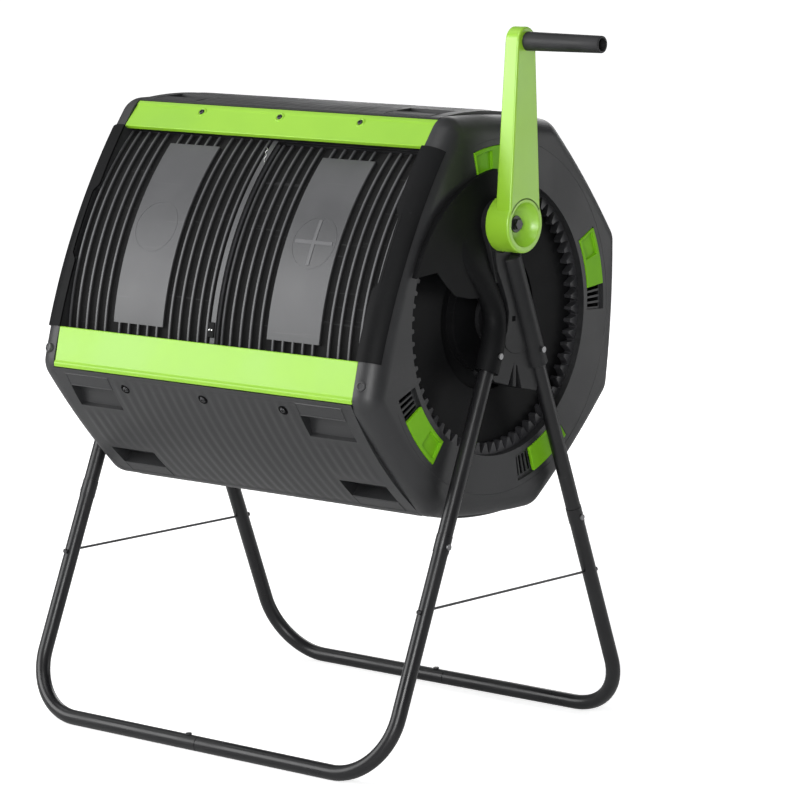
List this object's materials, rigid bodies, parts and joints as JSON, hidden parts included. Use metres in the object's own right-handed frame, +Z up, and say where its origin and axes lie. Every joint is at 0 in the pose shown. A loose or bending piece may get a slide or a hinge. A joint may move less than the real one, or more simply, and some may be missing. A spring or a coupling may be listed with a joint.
{
  "type": "compost tumbler",
  "caption": "Crank-geared compost tumbler: faceted drum on a bent-tube stand, ribbed sliding doors over two chambers, sliding end vents and a geared hand crank.",
  "frame": {"origin": "on the floor under the middle of the stand", "axes": "+X along the drum axis towards the crank, -Y towards the doors, +Z up"},
  "size_m": [0.995, 0.669, 1.1829],
  "materials": {
    "shell_plastic": "fine moulded texture, charcoal",
    "frame_plastic": "fine moulded texture, near black",
    "door_plastic": "satin, near black",
    "lime_plastic": "satin, lime green",
    "gear_plastic": "satin, black",
    "bush_plastic": "smooth, dark grey",
    "grip_plastic": "satin, black",
    "black_tube": "semi-gloss black powder coat",
    "black_steel": "blackened steel"
  },
  "bodies": {
    "stand": {"axle_left": "black_steel", "axle_right": "black_steel", "base_screws": "black_steel", "brace_left": "black_steel", "brace_right": "black_steel", "bracket_screws": "black_steel", "crank_bush": "bush_plastic", "front_base_left": "black_tube", "front_base_right": "black_tube", "gear_guard": "frame_plastic", "hub_bracket_left": "frame_plastic", "hub_bracket_right": "frame_plastic", "leg_front_left": "black_tube", "leg_front_right": "black_tube", "leg_rear_left": "black_tube", "leg_rear_right": "black_tube", "leg_screws": "black_steel", "rear_base_left": "black_tube", "rear_base_right": "black_tube"},
    "drum": {"end_cap_left": "shell_plastic", "end_cap_right": "shell_plastic", "hub_plate_left": "shell_plastic", "hub_plate_right": "shell_plastic", "ring_gear": "gear_plastic", "top_panel": "shell_plastic", "rear_upper_panel": "shell_plastic", "rear_panel": "shell_plastic", "rear_lower_panel": "shell_plastic", "bottom_panel": "shell_plastic", "front_lower_panel": "shell_plastic", "upper_strip": "lime_plastic", "lower_strip": "lime_plastic", "upper_rail": "frame_plastic", "lower_rail": "frame_plastic", "divider": "shell_plastic", "cheek_left": "frame_plastic", "cheek_right": "frame_plastic", "hub_bearing_left": "bush_plastic", "hub_bearing_right": "bush_plastic", "panel_screws": "black_steel", "strip_screws": "black_steel"},
    "door_left": {"door_left": "door_plastic"},
    "door_right": {"door_right": "door_plastic"},
    "vent_left_front": {"vent_left_front": "lime_plastic"},
    "vent_left_rear_lower": {"vent_left_rear_lower": "lime_plastic"},
    "vent_left_rear_upper": {"vent_left_rear_upper": "lime_plastic"},
    "vent_left_top": {"vent_left_top": "lime_plastic"},
    "vent_right_front": {"vent_right_front": "lime_plastic"},
    "vent_right_rear_lower": {"vent_right_rear_lower": "lime_plastic"},
    "vent_right_rear_upper": {"vent_right_rear_upper": "lime_plastic"},
    "vent_right_top": {"vent_right_top": "lime_plastic"},
    "crank": {"crank_arm": "lime_plastic", "pinion": "gear_plastic", "crank_screw": "black_steel", "grip_bolt": "black_steel"},
    "grip": {"crank_grip": "grip_plastic"}
  },
  "joints": [
    {"name": "drum_spin", "type": "hinge", "parent": "stand", "child": "drum", "pos_m": [0, 0, 0.715], "axis": [1, 0, 0], "continuous": true},
    {"name": "crank_spin", "type": "hinge", "parent": "stand", "child": "crank", "pos_m": [0.4, -0.03, 0.8714], "axis": [1, 0, 0], "continuous": true},
    {"name": "grip_spin", "type": "hinge", "parent": "crank", "child": "grip", "pos_m": [0.5, -0.03, 1.1614], "axis": [1, 0, 0], "continuous": true},
    {"name": "door_left_slide", "type": "slide", "parent": "drum", "child": "door_left", "axis": [1, 0, 0], "range_m": [0, 0.3]},
    {"name": "door_right_slide", "type": "slide", "parent": "drum", "child": "door_right", "axis": [-1, 0, 0], "range_m": [0, 0.3]},
    {"name": "vent_left_front_slide", "type": "hinge", "parent": "drum", "child": "vent_left_front", "pos_m": [-0.36, 0, 0.715], "axis": [1, 0, 0], "range_deg": [-8.5, 0]},
    {"name": "vent_left_rear_lower_slide", "type": "hinge", "parent": "drum", "child": "vent_left_rear_lower", "pos_m": [-0.36, 0, 0.715], "axis": [1, 0, 0], "range_deg": [-8.5, 0]},
    {"name": "vent_left_rear_upper_slide", "type": "hinge", "parent": "drum", "child": "vent_left_rear_upper", "pos_m": [-0.36, 0, 0.715], "axis": [1, 0, 0], "range_deg": [-8.5, 0]},
    {"name": "vent_left_top_slide", "type": "hinge", "parent": "drum", "child": "vent_left_top", "pos_m": [-0.36, 0, 0.715], "axis": [1, 0, 0], "range_deg": [-8.5, 0]},
    {"name": "vent_right_front_slide", "type": "hinge", "parent": "drum", "child": "vent_right_front", "pos_m": [0.36, 0, 0.715], "axis": [1, 0, 0], "range_deg": [-8.5, 0]},
    {"name": "vent_right_rear_lower_slide", "type": "hinge", "parent": "drum", "child": "vent_right_rear_lower", "pos_m": [0.36, 0, 0.715], "axis": [1, 0, 0], "range_deg": [-8.5, 0]},
    {"name": "vent_right_rear_upper_slide", "type": "hinge", "parent": "drum", "child": "vent_right_rear_upper", "pos_m": [0.36, 0, 0.715], "axis": [1, 0, 0], "range_deg": [-8.5, 0]},
    {"name": "vent_right_top_slide", "type": "hinge", "parent": "drum", "child": "vent_right_top", "pos_m": [0.36, 0, 0.715], "axis": [1, 0, 0], "range_deg": [-8.5, 0]}
  ],
  "couplings": [
    {"joint": "crank_spin", "follows": "drum_spin", "ratio": 4.0625}
  ]
}
